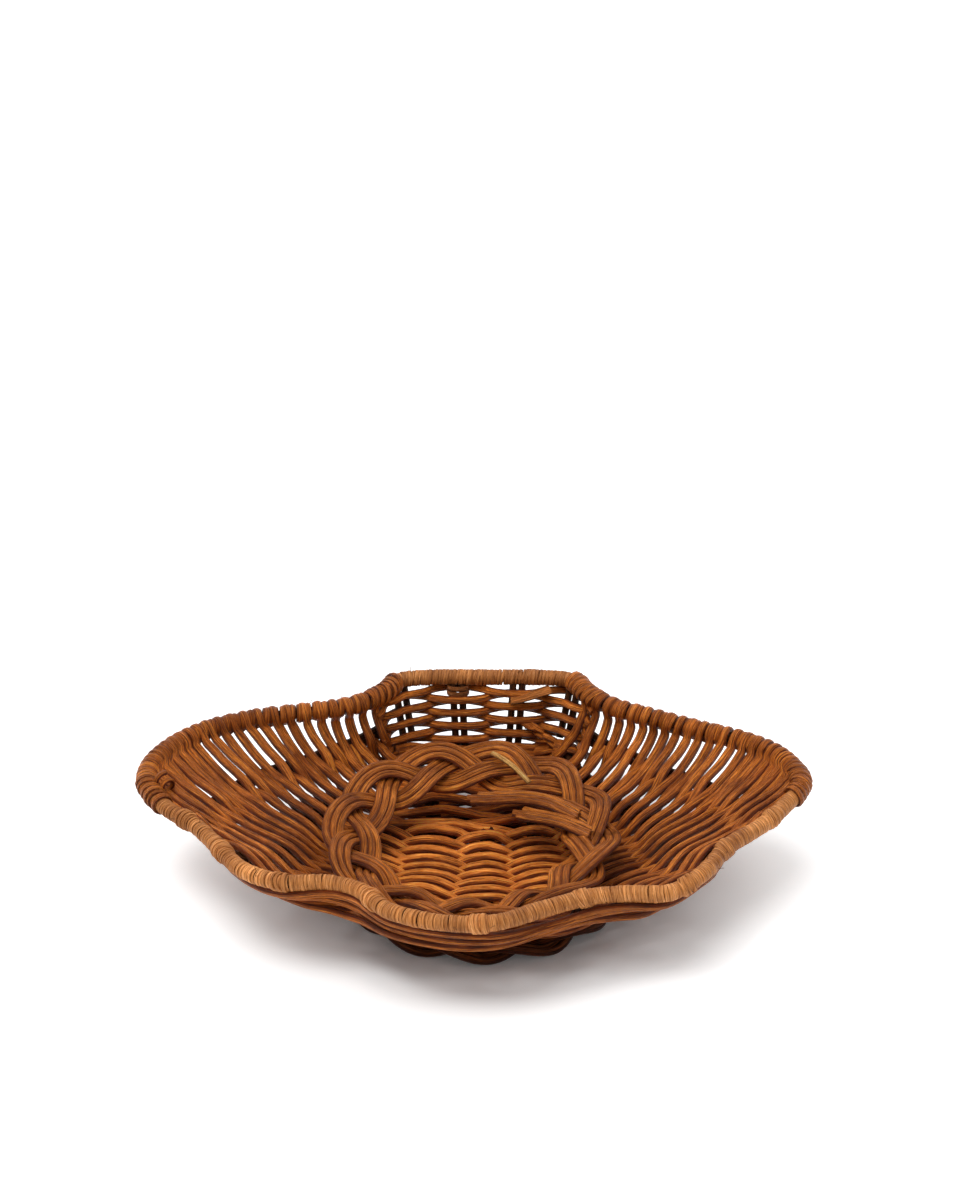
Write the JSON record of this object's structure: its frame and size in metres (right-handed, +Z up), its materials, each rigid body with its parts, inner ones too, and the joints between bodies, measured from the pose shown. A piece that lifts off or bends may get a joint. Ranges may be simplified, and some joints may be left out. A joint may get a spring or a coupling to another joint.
{
  "type": "rattan shell dish",
  "caption": "Shell-shaped woven rattan dish with a bound scalloped rim, a straight raised back, a plaited ring inside and a plaited foot.",
  "frame": {"origin": "middle of the dish's footprint, on the surface it stands on", "axes": "+Z up, -Y towards the scalloped front edge, +Y towards the straight back, +X to the right seen from the front"},
  "size_m": [0.353, 0.2308, 0.0689],
  "materials": {
    "binding_cane": "fine bound cane with a satin varnish",
    "rim_rod": "stained rattan rod",
    "weaving_cane": "stained and varnished rattan cane",
    "rib_cane": "dark stained rattan cane",
    "plait_cane": "glossy stained rattan cane",
    "foot_cane": "dark stained rattan cane"
  },
  "bodies": {
    "root": {"right_rim_binding": "binding_cane", "right_rim_rod": "rim_rod", "hinge_bar_binding": "binding_cane", "hinge_bar_rod": "rim_rod", "left_rim_binding": "binding_cane", "left_rim_rod": "rim_rod", "front_rim_binding": "binding_cane", "front_rim_rod": "rim_rod", "fan_row_01": "weaving_cane", "fan_row_02": "weaving_cane", "fan_row_03": "weaving_cane", "fan_row_04": "weaving_cane", "fan_row_05": "weaving_cane", "fan_row_06": "weaving_cane", "fan_row_07": "weaving_cane", "fan_row_08": "weaving_cane", "fan_row_09": "weaving_cane", "fan_row_10": "weaving_cane", "fan_row_11": "weaving_cane", "fan_row_12": "weaving_cane", "fan_row_13": "weaving_cane", "fan_row_14": "weaving_cane", "fan_row_15": "weaving_cane", "fan_row_16": "weaving_cane", "fan_row_17": "weaving_cane", "fan_row_18": "weaving_cane", "fan_row_19": "weaving_cane", "fan_row_20": "weaving_cane", "fan_row_21": "weaving_cane", "fan_row_22": "weaving_cane", "fan_row_23": "weaving_cane", "fan_row_24": "weaving_cane", "fan_row_25": "weaving_cane", "fan_rib_1": "rib_cane", "fan_rib_2": "rib_cane", "fan_rib_3": "rib_cane", "fan_rib_4": "rib_cane", "fan_rib_5": "rib_cane", "fan_rib_6": "rib_cane", "fan_rib_7": "rib_cane", "fan_rib_8": "rib_cane", "fan_rib_9": "rib_cane", "back_stake_1": "rib_cane", "back_stake_2": "rib_cane", "back_stake_3": "rib_cane", "back_stake_4": "rib_cane", "back_row_1": "weaving_cane", "back_row_2": "weaving_cane", "back_row_3": "weaving_cane", "back_row_4": "weaving_cane", "back_row_5": "weaving_cane", "back_row_6": "weaving_cane", "upper_waling_cane": "weaving_cane", "lower_waling_cane": "weaving_cane", "ring_strand_1": "plait_cane", "ring_strand_2": "plait_cane", "ring_strand_3": "plait_cane", "foot_strand_1": "foot_cane", "foot_strand_2": "foot_cane", "foot_strand_3": "foot_cane"}
  },
  "joints": []
}
